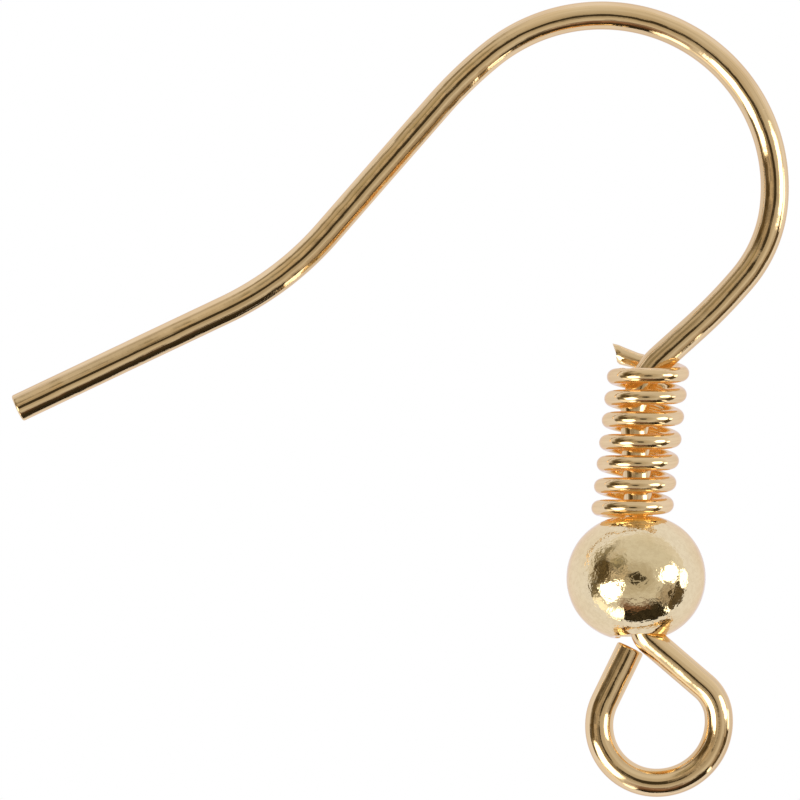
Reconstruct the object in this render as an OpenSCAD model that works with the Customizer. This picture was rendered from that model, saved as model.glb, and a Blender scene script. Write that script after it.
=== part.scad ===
// Ear wire of the fish-hook kind, with a loose coil and a hollow bead on its stem.
// It lies as it rests by itself: on the tip of the post, on the crown of the arch and on the bead.
// The hook is bent in one plane. Its route is a bending table, read from the tip to the loop's cut end.

/* [Ear wire] */
// Diameter of the round wire
wire_d = 0.64; // [0.56:0.02:0.7]
// Heading of the post as it leaves the tip, in degrees from the X axis
tip_heading = 25.3; // [20:0.1:30]
// Straight post from the tip to the kink
post_len = 5.28; // [4.6:0.01:6]
// Angle of the soft kink above the post
kink_turn = 23.7; // [18:0.1:28]
// Bending radius of the kink
kink_r = 7; // [5:0.1:9]
// Straight rise from the kink to the shoulder
rise_len = 3.84; // [3.2:0.01:4.5]
// Angle of the shoulder, where the arch begins
shoulder_turn = 9.7; // [8:0.1:13]
// Bending radius of the shoulder
shoulder_r = 9.9; // [8:0.1:12]
// Angle of the crown, the main bend of the arch
crown_turn = 135.6; // [130:0.1:139]
// Bending radius of the crown
crown_r = 3.96; // [3.7:0.01:4.2]
// Angle of the tighter bend at the back of the arch
back_turn = 34; // [31:0.1:37]
// Bending radius of the back of the arch
back_r = 3.05; // [2.7:0.01:3.4]
// Angle of the last slack bend of the arch
heel_turn = 7.7; // [5:0.1:10]
// Bending radius of the last slack bend
heel_r = 11.8; // [9:0.1:14]
// Straight wire that leads down into the coil
drop_len = 1; // [0.9:0.01:1.1]
// Angle of the bend at the mouth of the coil
neck_turn = 50.5; // [48:0.1:53]
// Bending radius at the mouth of the coil
neck_r = 1.84; // [1.75:0.01:1.95]

/* [Loop] */
// Roll of the wire under the bead, which levels the loop as the ear wire lies
foot_roll = 6; // [5:0.1:8]
// Angle between the stem and the strand that starts the loop
foot_turn = 47.1; // [45.5:0.1:49]
// Bending radius under the bead
foot_r = 0.46; // [0.44:0.01:0.5]
// Straight strand from the foot to the loop's bowl
near_len = 1.58; // [1.5:0.01:1.8]
// Roll of the wire back again before the bowl
corner_roll = 13; // [12:0.1:14]
// Angle of the tight corner at the start of the bowl
corner_turn = 42.7; // [40:0.1:45]
// Bending radius of the corner
corner_r = 0.96; // [0.85:0.01:1.05]
// Small roll of the wire after the corner, against the one before
bowl_roll = -2.5; // [-4:0.1:0]
// Angle of the bottom of the bowl
bowl_turn = 102.4; // [99:0.1:105]
// Bending radius of the bottom of the bowl
bowl_r = 1.41; // [1.3:0.01:1.5]
// Roll of the wire before the far side, which takes the cut end behind the near strand
far_roll = 9; // [8.6:0.1:10]
// Angle of the far side of the bowl
far_turn = 110.2; // [107:0.1:113]
// Bending radius of the far side of the bowl
far_r = 1.29; // [1.2:0.01:1.4]
// Straight end strand, up to the cut below the bead
end_len = 1.34; // [1.28:0.01:1.37]

/* [Bead] */
// Diameter of the bead
bead_d = 3.15; // [3:0.01:3.4]
// Radius of the bead's round side, a little under half its diameter, which makes it oblate
bead_side_r = 1.41; // [1.36:0.01:1.45]
// Thickness of the sheet
bead_wall = 0.15; // [0.12:0.01:0.2]
// Half the length between the flat ends
bead_half_len = 1.33; // [1.3:0.01:1.35]
// Play of the wire in the bead's holes, on the diameter
bore_play = 0.38; // [0.34:0.01:0.44]
// Height of the bead's middle above the bend under it
bead_rise = 1.11; // [1.1:0.01:1.15]
// How far the bead hangs off the stem's line, towards the tip
bead_shift = 0.12; // [0.05:0.01:0.13]
// How far the loose bead tips out of the hook's plane, in degrees
bead_tip = 1.5; // [0.5:0.1:2]
// Clearance cut in the lower hole where the strand bends out of it
notch_gap = 0.05; // [0.04:0.01:0.08]

/* [Coil] */
// Diameter of the coil's wire
coil_wire_d = 0.36; // [0.3:0.01:0.38]
// Play of the wire inside the coil, on the diameter
coil_play = 0.52; // [0.5:0.01:0.54]
// Rise of one turn
pitch = 0.5; // [0.46:0.001:0.51]
// Whole front turns that show
front_turns = 7; // [5:1:7]
// Hidden lead of the wire before the first front turn, in degrees
lead_in = 36; // [10:1:60]
// Space between the coil and the bead's end
coil_gap = 0.11; // [0.1:0.01:0.2]
// How far the coil reaches up over the bend at its mouth
coil_mouth = 1.08; // [1:0.01:1.1]
// Shift of the lowest turn off the stem's line, towards the tip
coil_shift = 0.13; // [0.11:0.005:0.14]
// Shift of the top turn off the stem's line, away from the tip
coil_top_shift = 0.36; // [0.34:0.005:0.37]
// Depth of the lowest turn under the hook's plane
coil_sink = 0.07; // [0.04:0.01:0.09]
// Height of the top turn over the hook's plane
coil_top_rise = 0.03; // [0:0.01:0.05]
// How far the wire swings up and down at the sides of a turn, which lays the turns flatter in front
turn_swing = 0.02; // [0:0.005:0.04]
// Length of the tail beyond the last turn
tail_len = 0.84; // [0.6:0.01:0.95]
// Lift of the tail's end above the rise of the turns
tail_lift = 0.13; // [0:0.01:0.14]
// Slant of the nipped end, back from its front side
nip_slant = 0.5; // [0.2:0.05:0.7]
// Length of the burr on the upper edge of the nipped end
burr_len = 0.17; // [0.1:0.01:0.22]

/* [Facets] */
// Sections in one turn of the coil
coil_steps = 18; // [14:1:22]
// Sides of the coil's wire
coil_sides = 10; // [8:1:12]

/* [Hidden] */
$fn = 96;

wire_r = wire_d / 2;
joint_short = 0.01;
joint_swell = 0.003;

// The stem carries the bead and the coil, whose last turns reach up over the bend at its top.
coil_len = (front_turns - 1) * pitch;
stem_len = bead_rise + bead_half_len + coil_gap + coil_wire_d / 2 + coil_len - coil_mouth;
coil_lean = atan((coil_shift + coil_top_shift) / coil_len);
coil_tip = atan((coil_sink + coil_top_rise) / coil_len);

// Bending table of the hook: a straight feed, a roll of the wire about its own axis,
// then a bend to the left (+) or to the right (-).
function feed(row) = row[0];
function roll(row) = row[1];
function turn(row) = row[2];
function radius(row) = row[3];
bends = [
    // feed, roll, turn, radius
    [post_len, 0, kink_turn, kink_r],
    [rise_len, 0, -shoulder_turn, shoulder_r],
    [0, 0, -crown_turn, crown_r],
    [0, 0, -back_turn, back_r],
    [0, 0, -heel_turn, heel_r],
    [drop_len, 0, neck_turn, neck_r],
    [stem_len, -foot_roll, foot_turn, foot_r],
    [near_len, corner_roll, -corner_turn, corner_r],
    [0, bowl_roll, -bowl_turn, bowl_r],
    [0, far_roll, -far_turn, far_r],
    [end_len, 0, 0, 0],
];

// A frame is a 4 x 4 matrix: the X axis points along the wire, away from the tip.
function shift(v) = [[1, 0, 0, v.x], [0, 1, 0, v.y], [0, 0, 1, v.z], [0, 0, 0, 1]];
function spin_x(a) = [[1, 0, 0, 0], [0, cos(a), -sin(a), 0], [0, sin(a), cos(a), 0], [0, 0, 0, 1]];
function spin_z(a) = [[cos(a), -sin(a), 0, 0], [sin(a), cos(a), 0, 0], [0, 0, 1, 0], [0, 0, 0, 1]];
function place(m) = [m[0][3], m[1][3], m[2][3]];
function heading(m) = [m[0][0], m[1][0], m[2][0]];

function ahead(m, run) = m * shift([run, 0, 0]);
function bend_start(m, row) = ahead(m, feed(row)) * spin_x(roll(row));
function along_bend(m, angle, r) =
    let (side = sign(angle) * r)
    m * shift([0, side, 0]) * spin_z(angle) * shift([0, -side, 0]);
function after_row(m, row) = along_bend(bend_start(m, row), turn(row), radius(row));
function station(i) = i == 0 ? spin_z(tip_heading) : after_row(station(i - 1), bends[i - 1]);

// Frames all along the hook, one every few degrees of each bend.
sample_turn = 3;
route = [
    for (i = [0:len(bends) - 1])
        let (row = bends[i], m = bend_start(station(i), row), steps = ceil(abs(turn(row)) / sample_turn))
        each [
            station(i),
            for (k = [0:1:steps]) along_bend(m, turn(row) * k / max(steps, 1), radius(row)),
        ],
];

// The bead and the coil ride on the stem. Their frames have X to the right, Y up and Z towards the viewer.
// The wire starts its bend under the bead at foot_bend, and the strand of the loop starts at near_start.
foot = ahead(station(6), stem_len);
foot_bend = foot * spin_x(-foot_roll);
near_start = station(7);
bore_r = wire_r + bore_play / 2;
bead_inset = bead_d / 2 - bead_side_r;
bead_frame = ahead(foot, -bead_rise) * spin_z(90) * shift([-bead_shift, 0, 0]) * spin_x(-bead_tip);
coil_r = wire_r + coil_play / 2 + coil_wire_d / 2;
coil_rise = bead_rise + bead_half_len + coil_gap + coil_wire_d / 2;
coil_frame =
    ahead(foot, -coil_rise) * spin_z(90) * shift([-coil_shift, 0, -coil_sink])
    * spin_z(-coil_lean) * spin_x(coil_tip);

// The rest: the plane of the hook tips up from its edge, which runs from the tip to the crown,
// until the bead stands on the surface.
edge_heading = max([for (m = route) if (norm(place(m)) > post_len) atan2(place(m).y, place(m).x)]);
bead_off_edge = (spin_z(-edge_heading) * bead_frame)[1][3];
rest_tilt = asin((bead_d / 2 - wire_r) / -bead_off_edge);
rest = shift([0, 0, wire_r]) * spin_z(edge_heading) * spin_x(-rest_tilt) * spin_z(-edge_heading);

// The middle of the outline of the lying hook.
function reach(m, axis) = wire_r * sqrt(max(0, 1 - heading(m)[axis] ^ 2));
function low(axis) = min([for (m = route) place(rest * m)[axis] - reach(rest * m, axis)]);
function high(axis) = max([for (m = route) place(rest * m)[axis] + reach(rest * m, axis)]);
middle = [(low(0) + high(0)) / 2, (low(1) + high(1)) / 2, 0];
lying = shift(-middle) * rest;

// One bend of the wire, from the origin along X. It stops short of both joints.
module bend(angle, r, d) {
    short = joint_short / r * 180 / PI;
    mirror([0, angle < 0 ? 1 : 0, 0])
        translate([0, r, 0])
            rotate([0, 0, short - 90])
                rotate_extrude(angle = abs(angle) - 2 * short)
                    translate([r, 0])
                        circle(d = d);
}

// A straight run along X, cut back by the given lengths at its start and end.
module straight(run, d, start_short, end_short) {
    translate([start_short, 0, 0])
        rotate([0, 90, 0])
            cylinder(d = d, h = run - start_short - end_short);
}

// The pieces of the wire join through a ball that is a hair wider than the wire.
module joint(d) {
    sphere(d = d + 2 * joint_swell);
}

module bent_wire(d) {
    last = len(bends) - 1;
    for (i = [0:last]) {
        row = bends[i];
        start = bend_start(station(i), row);
        if (feed(row) > 0)
            multmatrix(station(i))
                straight(feed(row), d, i == 0 ? 0 : joint_short, i == last ? 0 : joint_short);
        if (turn(row) != 0)
            multmatrix(start)
                bend(turn(row), radius(row), d);
        if (feed(row) > 0 && i < last)
            multmatrix(start)
                joint(d);
        if (i > 0)
            multmatrix(station(i))
                joint(d);
    }
}

module ear_hook() {
    color("gold")
        multmatrix(lying)
            bent_wire(wire_d);
}

// Half the outline of the sheet bead, inset by a distance for its inner side.
module bead_half_profile(inset) {
    intersection() {
        translate([bead_inset, 0])
            circle(r = bead_side_r - inset);
        translate([0, inset - bead_half_len])
            square([bead_d, 2 * (bead_half_len - inset)]);
    }
}

module bead_profile() {
    difference() {
        bead_half_profile(0);
        bead_half_profile(bead_wall);
        translate([-1, -bead_d])
            square([1 + bore_r, 2 * bead_d]);
    }
}

// The loose bead. Its lower hole is notched where the wire bends out of it.
module bead() {
    passage_d = wire_d + 2 * notch_gap;
    color("goldenrod")
        multmatrix(lying)
            difference() {
                multmatrix(bead_frame)
                    rotate([-90, 0, 0])
                        rotate_extrude()
                            bead_profile();
                multmatrix(foot_bend)
                    bend(foot_turn, foot_r, passage_d);
                multmatrix(near_start) {
                    joint(passage_d);
                    straight(near_len, passage_d, 0, 0);
                }
            }
}

// The coil in its own frame: axis up local Y, front towards local Z, lowest front turn at the origin.
function coil_point(a) =
    [-coil_r * cos(a), pitch * (a / 360 - 0.25) + turn_swing * sin(2 * a), coil_r * sin(a)];

last_angle = 360 * (front_turns - 1) + 270;
tail_steps = 5;
tail_slope = (pitch / (2 * PI) + 2 * turn_swing * cos(2 * last_angle)) / coil_r;
function tail_point(s) =
    coil_point(last_angle) + [-s, s * tail_slope + tail_lift * (s / tail_len) ^ 2, 0];

turn_count = ceil((last_angle + lead_in) / 360 * coil_steps);
coil_route = [
    for (k = [0:turn_count]) coil_point(-lead_in + (last_angle + lead_in) * k / turn_count),
    for (k = [1:tail_steps]) tail_point(tail_len * k / tail_steps),
];

function unit(v) = v / norm(v);
function coil_along(i) =
    unit(coil_route[min(i + 1, len(coil_route) - 1)] - coil_route[max(i - 1, 0)]);
// Sections are square to the wire, with one side kept near the coil's own axis direction.
function coil_up(i) = unit([0, 1, 0] - coil_along(i) * coil_along(i).y);
function coil_out(i) = cross(coil_along(i), coil_up(i));

// The nipped end slants back at the front, and its upper edge runs out in a burr.
function nip(a) =
    nip_slant * coil_wire_d / 2 * sin(a) + burr_len * max(0, cos(a)) ^ 4;

function coil_section(i) =
    let (cut = i == len(coil_route) - 1 ? 1 : 0)
    [
        for (k = [0:coil_sides - 1])
            let (a = 360 * k / coil_sides)
            coil_route[i]
            + coil_wire_d / 2 * (coil_up(i) * cos(a) + coil_out(i) * sin(a))
            + coil_along(i) * cut * nip(a),
    ];

module swept_coil() {
    sections = len(coil_route);
    points = [
        for (i = [0:sections - 1]) each coil_section(i),
        coil_route[0],
        coil_route[sections - 1],
    ];
    first_cap = sections * coil_sides;
    last_cap = first_cap + 1;
    faces = [
        for (i = [0:sections - 2], k = [0:coil_sides - 1])
            let (n = (k + 1) % coil_sides, a = i * coil_sides, b = a + coil_sides)
            each [[a + k, b + k, b + n], [a + k, b + n, a + n]],
        for (k = [0:coil_sides - 1])
            let (n = (k + 1) % coil_sides, b = (sections - 1) * coil_sides)
            each [[first_cap, k, n], [last_cap, b + n, b + k]],
    ];
    polyhedron(points, faces);
}

// The loose coil stands over the bead and leans against the stem.
module coil() {
    color("goldenrod")
        multmatrix(lying * coil_frame)
            swept_coil();
}

ear_hook();
coil();
bead();
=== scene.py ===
# %% [markdown]
# # An ear wire in polished gold colour
#
# The real object is an earring hook: one bent wire, a small spring wound from thinner wire, and a
# hollow bead, all plated and polished. It lies on a bright white surface and is seen from above.
#
# A polished metal has almost no colour of its own. What the eye reads as gold is the room, seen
# in a curved mirror and tinted. So the lesson has two halves: shapes whose curves are clean enough
# to be mirrors, and a small studio for them to reflect.
#
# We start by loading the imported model. It is the frame that every piece must fit.

# %% Load the frame
import math

import bmesh
import bpy
from mathutils import Matrix, Vector


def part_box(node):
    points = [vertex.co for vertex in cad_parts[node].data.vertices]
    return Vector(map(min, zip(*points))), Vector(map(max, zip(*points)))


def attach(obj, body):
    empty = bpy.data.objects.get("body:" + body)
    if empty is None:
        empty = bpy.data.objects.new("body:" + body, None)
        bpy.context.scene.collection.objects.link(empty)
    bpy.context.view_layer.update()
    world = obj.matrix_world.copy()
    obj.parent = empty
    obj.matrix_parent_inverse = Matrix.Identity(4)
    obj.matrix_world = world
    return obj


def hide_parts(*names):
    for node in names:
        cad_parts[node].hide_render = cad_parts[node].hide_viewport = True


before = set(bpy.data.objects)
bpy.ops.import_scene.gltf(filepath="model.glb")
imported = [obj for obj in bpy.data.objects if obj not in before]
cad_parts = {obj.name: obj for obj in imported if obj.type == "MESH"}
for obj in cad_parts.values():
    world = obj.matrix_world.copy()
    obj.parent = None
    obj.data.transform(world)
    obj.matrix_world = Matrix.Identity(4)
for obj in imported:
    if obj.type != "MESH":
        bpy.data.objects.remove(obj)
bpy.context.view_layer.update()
MM = 0.001
print("packed nodes:", sorted(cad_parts))

# %% [markdown]
# ## How the wire is bent
#
# A maker bends an ear wire from the tip onward: feed some wire, bend it round a peg, feed again.
# That is a bending table, and it is the best way to write the shape down too, because every bend
# stays round and every straight stays straight. A hand-drawn spline would wobble, and a mirror
# finish shows each wobble as a kink in the highlight.
#
# Each row holds a straight feed, a roll of the wire about itself, a turn and the radius of the
# turn. Lengths are in millimetres, angles in degrees, and a turn to the left is positive. The post
# leaves the tip at a heading of its own, and everything else follows from there.

# %% The bending table
WIRE_R = 0.32
STEM_LEN = 4.65
STEM_ROW = 6
POST_HEADING = 25.3
BENDS = [
    (5.28, 0, 23.7, 7.0),
    (3.84, 0, -9.7, 9.9),
    (0, 0, -135.6, 3.96),
    (0, 0, -34.0, 3.05),
    (0, 0, -7.7, 11.8),
    (1.0, 0, 50.5, 1.84),
    (STEM_LEN, -6, 47.1, 0.46),
    (1.58, 13, -42.7, 0.96),
    (0, -2.5, -102.4, 1.41),
    (0, 9, -110.2, 1.29),
    (1.34, 0, 0, 0),
]
print("rows in the bending table:", len(BENDS))

# %% [markdown]
# To follow the table we carry a frame along the wire, a 4 x 4 matrix whose X axis points forward.
# A feed moves it on, a roll turns it about X, and a bend swings it round the peg. The frames along
# the way become the points of the wire, close enough together that no facet shows in a reflection.

# %% Walk along the wire
POINT_SPACING = 0.08
FINEST_TURN = 3.0


def move(x, y, z):
    return Matrix.Translation((x, y, z))


def spin(degrees, axis):
    return Matrix.Rotation(math.radians(degrees), 4, axis)


def along_bend(start, turn, radius):
    side = math.copysign(radius, turn)
    return start @ move(0, side, 0) @ spin(turn, "Z") @ move(0, -side, 0)


def walk_bends():
    """Frames along the wire with X forward, and the frame where each row starts."""
    here = spin(POST_HEADING, "Z")
    frames, row_starts = [here], []
    for feed, roll, turn, radius in BENDS:
        row_starts.append(here)
        if feed:
            count = max(1, round(feed / POINT_SPACING))
            frames += [here @ move(feed * k / count, 0, 0) for k in range(1, count + 1)]
            here = here @ move(feed, 0, 0)
        here = here @ spin(roll, "X")
        if turn:
            arc = math.radians(abs(turn)) * radius
            count = max(round(arc / POINT_SPACING), math.ceil(abs(turn) / FINEST_TURN))
            frames += [along_bend(here, turn * k / count, radius) for k in range(1, count + 1)]
            here = along_bend(here, turn, radius)
    return frames, row_starts


wire_frames, row_starts = walk_bends()
print("points along the wire:", len(wire_frames))

# %% [markdown]
# ## How it lies
#
# A flat hook with a fat bead can't lie flat. It rests on the tip, on the crown of the arch and on
# the bead, so its plane tips up by about six degrees. The tip-to-crown line is the hinge of that
# tilt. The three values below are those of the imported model's own rest. We keep the whole resting
# pose in one matrix and use it for every piece.

# %% The resting pose
EDGE_HEADING = 36.7757
REST_TILT = 6.23858
OUTLINE_MIDDLE = (8.70688, 0.245208)

lying = (
    move(-OUTLINE_MIDDLE[0], -OUTLINE_MIDDLE[1], WIRE_R)
    @ spin(EDGE_HEADING, "Z")
    @ spin(-REST_TILT, "X")
    @ spin(-EDGE_HEADING, "Z")
)
in_metres = Matrix.Scale(MM, 4)
foot = row_starts[STEM_ROW] @ move(STEM_LEN, 0, 0)
print("tip of the post, mm:", [round(v, 3) for v in lying @ row_starts[0].translation])

# %% [markdown]
# ## Small helpers for node trees
#
# Geometry Nodes and shader nodes are built in code here, so a few helpers save many lines. `put`
# adds a node and sets its properties, `join` links one socket to another, and `calc` makes one node
# of maths. `new_group` starts a tree that has named inputs and outputs.

# %% Node helpers
SOCKET = {
    "geometry": "NodeSocketGeometry",
    "number": "NodeSocketFloat",
    "count": "NodeSocketInt",
    "vector": "NodeSocketVector",
    "colour": "NodeSocketColor",
    "material": "NodeSocketMaterial",
}


def new_group(name, kind, inputs, outputs):
    tree = bpy.data.node_groups.new(name, kind)
    for label, socket_kind, value in inputs:
        socket = tree.interface.new_socket(label, in_out="INPUT", socket_type=SOCKET[socket_kind])
        if value is not None:
            socket.default_value = value
    for label, socket_kind in outputs:
        tree.interface.new_socket(label, in_out="OUTPUT", socket_type=SOCKET[socket_kind])
    return tree, tree.nodes.new("NodeGroupInput"), tree.nodes.new("NodeGroupOutput")


def put(tree, kind, **settings):
    node = tree.nodes.new(kind)
    for key, value in settings.items():
        setattr(node, key, value)
    return node


def join(tree, source, target):
    tree.links.new(source, target)


def feed(tree, socket, value):
    """Give a socket a link or a plain value."""
    if isinstance(value, bpy.types.NodeSocket):
        tree.links.new(value, socket)
    else:
        socket.default_value = value


def calc(tree, operation, *values):
    """One maths node. Values are numbers or sockets."""
    node = put(tree, "ShaderNodeMath", operation=operation)
    for socket, value in zip(node.inputs, values):
        feed(tree, socket, value)
    return node.outputs["Value"]


def vector_of(tree, x, y, z):
    node = put(tree, "ShaderNodeCombineXYZ")
    for socket, value in zip(node.inputs, (x, y, z)):
        feed(tree, socket, value)
    return node.outputs[0]


print("kinds of socket:", ", ".join(SOCKET))

# %% [markdown]
# ## One sweep for both wires
#
# The hook and the coil are both round wire, so one node group sweeps a circle along any curve. It
# does two more jobs. It rounds the cut ends, by shrinking the circle over the last hair of the
# length. And it stores where each point would be if the wire were pulled straight again, in an
# attribute named `straightened`. Drawing marks run along a wire, and this attribute is what lets
# the material lay them that way round every bend.
#
# The first part finds how much the circle shrinks at each point of the curve. The cut edge is a
# quarter circle, so the shrinking comes from a square root.

# %% The sweep group: rounded ends
sweep, sweep_in, sweep_out = new_group(
    "Sweep Wire",
    "GeometryNodeTree",
    [
        ("Curve", "geometry", None),
        ("Wire Radius", "number", 0.00032),
        ("Sides", "count", 48),
        ("End Rounding", "number", 0.00004),
    ],
    [("Mesh", "geometry")],
)
place_along = put(sweep, "GeometryNodeSplineParameter")
total = put(sweep, "GeometryNodeSplineLength")
to_end = calc(sweep, "SUBTRACT", total.outputs["Length"], place_along.outputs["Length"])
nearest_end = calc(sweep, "MINIMUM", place_along.outputs["Length"], to_end)
share = calc(sweep, "DIVIDE", nearest_end, sweep_in.outputs["End Rounding"])
share = calc(sweep, "MINIMUM", share, 1.0)
rest_share = calc(sweep, "SUBTRACT", 1.0, share)
under_root = calc(sweep, "SUBTRACT", 1.0, calc(sweep, "MULTIPLY", rest_share, rest_share))
dip = calc(sweep, "SUBTRACT", 1.0, calc(sweep, "SQRT", calc(sweep, "MAXIMUM", under_root, 0.0)))
dip = calc(sweep, "MULTIPLY", dip, sweep_in.outputs["End Rounding"])
thinner = calc(sweep, "DIVIDE", dip, sweep_in.outputs["Wire Radius"])
ring_scale = calc(sweep, "SUBTRACT", 1.0, thinner)
print("nodes for the rounded ends:", len(sweep.nodes))

# %% [markdown]
# A Capture Attribute node keeps a value from before the sweep, so that it can still be read on the
# skin: how far along the wire a point is, how much its circle shrinks, and where on the circle it
# sits. From the first and the last comes the place of each point on the straightened wire.

# %% The sweep group: skin and straightened places


def capture(tree, geometry, kind, label, value):
    """Keep a value with the geometry. Gives the geometry and the kept value."""
    node = put(tree, "GeometryNodeCaptureAttribute")
    node.capture_items.new(kind, label)
    join(tree, geometry, node.inputs["Geometry"])
    join(tree, value, node.inputs[label])
    return node.outputs["Geometry"], node.outputs[label]


path, kept_length = capture(
    sweep, sweep_in.outputs["Curve"], "FLOAT", "Length", place_along.outputs["Length"]
)
path, kept_scale = capture(sweep, path, "FLOAT", "Scale", ring_scale)
circle = put(sweep, "GeometryNodeCurvePrimitiveCircle")
join(sweep, sweep_in.outputs["Sides"], circle.inputs["Resolution"])
join(sweep, sweep_in.outputs["Wire Radius"], circle.inputs["Radius"])
place_on_circle = put(sweep, "GeometryNodeInputPosition").outputs[0]
ring, kept_side = capture(sweep, circle.outputs["Curve"], "VECTOR", "Side", place_on_circle)

skin = put(sweep, "GeometryNodeCurveToMesh")
join(sweep, path, skin.inputs["Curve"])
join(sweep, ring, skin.inputs["Profile Curve"])
join(sweep, kept_scale, skin.inputs["Scale"])
skin.inputs["Fill Caps"].default_value = True

side_parts = put(sweep, "ShaderNodeSeparateXYZ")
join(sweep, kept_side, side_parts.inputs[0])
pulled = vector_of(sweep, side_parts.outputs[0], side_parts.outputs[1], kept_length)
store = put(sweep, "GeometryNodeStoreNamedAttribute", data_type="FLOAT_VECTOR", domain="POINT")
store.inputs["Name"].default_value = "straightened"
join(sweep, skin.outputs["Mesh"], store.inputs["Geometry"])
join(sweep, pulled, store.inputs["Value"])
join(sweep, store.outputs["Geometry"], sweep_out.inputs["Mesh"])
print("sweep group:", len(sweep.nodes), "nodes")

# %% [markdown]
# ## From a tree to a plain mesh
#
# A live modifier would be baked again at export, and its attributes could be lost. So each tree is
# run once. Its inputs are set by their identifiers, the result is read back as a plain mesh, and
# the modifier goes. Every finished skin is then checked: closed, facing outwards and smooth.

# %% Run a tree and check a skin


def add_object(name, data):
    """Put a mesh or a camera into the scene, at the origin."""
    thing = bpy.data.objects.new(name, data)
    bpy.context.scene.collection.objects.link(thing)
    return thing


def run_tree(name, start_mesh, tree, values):
    """Grow a piece from a start mesh with a Geometry Nodes tree, as a plain mesh."""
    piece = add_object(name, start_mesh)
    modifier = piece.modifiers.new(tree.name, "NODES")
    modifier.node_group = tree
    for item in tree.interface.items_tree:
        if item.in_out == "INPUT" and item.name in values:
            modifier[item.identifier] = values[item.name]
    graph = bpy.context.evaluated_depsgraph_get()
    result = bpy.data.meshes.new_from_object(
        piece.evaluated_get(graph), preserve_all_data_layers=True, depsgraph=graph
    )
    piece.modifiers.remove(modifier)
    piece.data = result
    result.name = name
    return piece


def check_skin(piece):
    """Turn the faces outwards if they point in, smooth them, and report."""
    body = bmesh.new()
    body.from_mesh(piece.data)
    if body.calc_volume(signed=True) < 0:
        bmesh.ops.reverse_faces(body, faces=body.faces)
    open_edges = sum(1 for edge in body.edges if len(edge.link_faces) != 2)
    volume = body.calc_volume(signed=True) / MM ** 3
    triangles = sum(len(face.verts) - 2 for face in body.faces)
    body.to_mesh(piece.data)
    body.free()
    piece.data.polygons.foreach_set("use_smooth", [True] * len(piece.data.polygons))
    print(piece.name, "triangles", triangles, "volume mm3", round(volume, 2), "open edges", open_edges)


# %% [markdown]
# ## The hook
#
# The tree for the hook only has to turn our chain of points into a curve, sweep it and name its
# material. The coil's tree will end in the same steps, so they are a helper.

# %% The bent wire tree


def sweep_and_paint(tree, tree_in, tree_out, points):
    """The end of both wire trees: a curve from the points, the sweep, real faces and the metal."""
    curve = put(tree, "GeometryNodeMeshToCurve")
    join(tree, points, curve.inputs["Mesh"])
    swept = put(tree, "GeometryNodeGroup", node_tree=sweep)
    join(tree, curve.outputs["Curve"], swept.inputs["Curve"])
    for label in ("Wire Radius", "Sides", "End Rounding"):
        join(tree, tree_in.outputs[label], swept.inputs[label])
    real = put(tree, "GeometryNodeRealizeInstances")
    join(tree, swept.outputs["Mesh"], real.inputs["Geometry"])
    paint = put(tree, "GeometryNodeSetMaterial")
    join(tree, real.outputs["Geometry"], paint.inputs["Geometry"])
    join(tree, tree_in.outputs["Metal"], paint.inputs["Material"])
    join(tree, paint.outputs["Geometry"], tree_out.inputs["Geometry"])


bent, bent_in, bent_out = new_group(
    "Bent Wire",
    "GeometryNodeTree",
    [
        ("Geometry", "geometry", None),
        ("Wire Radius", "number", 0.00032),
        ("Sides", "count", 48),
        ("End Rounding", "number", 0.00004),
        ("Metal", "material", None),
    ],
    [("Geometry", "geometry")],
)
sweep_and_paint(bent, bent_in, bent_out, bent_in.outputs["Geometry"])
print("bent wire tree:", len(bent.nodes), "nodes")

# %% [markdown]
# ## The metal
#
# All three pieces are brass under a thin gold plate, so they share one surface group. It gives a
# colour that drifts a little and darkens in fine streaks, a roughness that rises in the same
# streaks, and a very small relief: lines left by drawing and polishing, slow waves, and the faint
# orange peel of the plating. The relief is far too small to see by itself. It shows where a
# reflection has an edge, as a slight tremble.
#
# Three helpers come first: a noise, a soft ramp from one number to another, and a blend of two
# colours. The group puts out only a colour and two numbers, and the Principled BSDF stays in each
# material.

# %% Helpers for colours and masks


def noise_node(tree, place, scale, detail, roughness=0.5):
    node = put(tree, "ShaderNodeTexNoise")
    feed(tree, node.inputs["Vector"], place)
    feed(tree, node.inputs["Scale"], scale)
    node.inputs["Detail"].default_value = detail
    node.inputs["Roughness"].default_value = roughness
    return node.outputs["Fac"]


def ramp(tree, value, low, high, to_low=0.0, to_high=1.0):
    node = put(tree, "ShaderNodeMapRange", interpolation_type="SMOOTHSTEP")
    limits = {"From Min": low, "From Max": high, "To Min": to_low, "To Max": to_high}
    for key, number in limits.items():
        feed(tree, node.inputs[key], number)
    feed(tree, node.inputs["Value"], value)
    return node.outputs["Result"]


def blend(tree, factor, first, second):
    """Mix two colours. A Mix node has sockets for every kind of data, colours at 6 and 7."""
    node = put(tree, "ShaderNodeMix", data_type="RGBA")
    feed(tree, node.inputs["Factor"], factor)
    feed(tree, node.inputs[6], first)
    feed(tree, node.inputs[7], second)
    return node.outputs[2]


print("helpers:", noise_node.__name__, ramp.__name__, blend.__name__)

# %% [markdown]
# The noises read two places. `Place` is where a point is on the piece, for what has no direction.
# `Line Place` is stretched along the wire, so its noise comes out as long thin marks.

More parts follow.
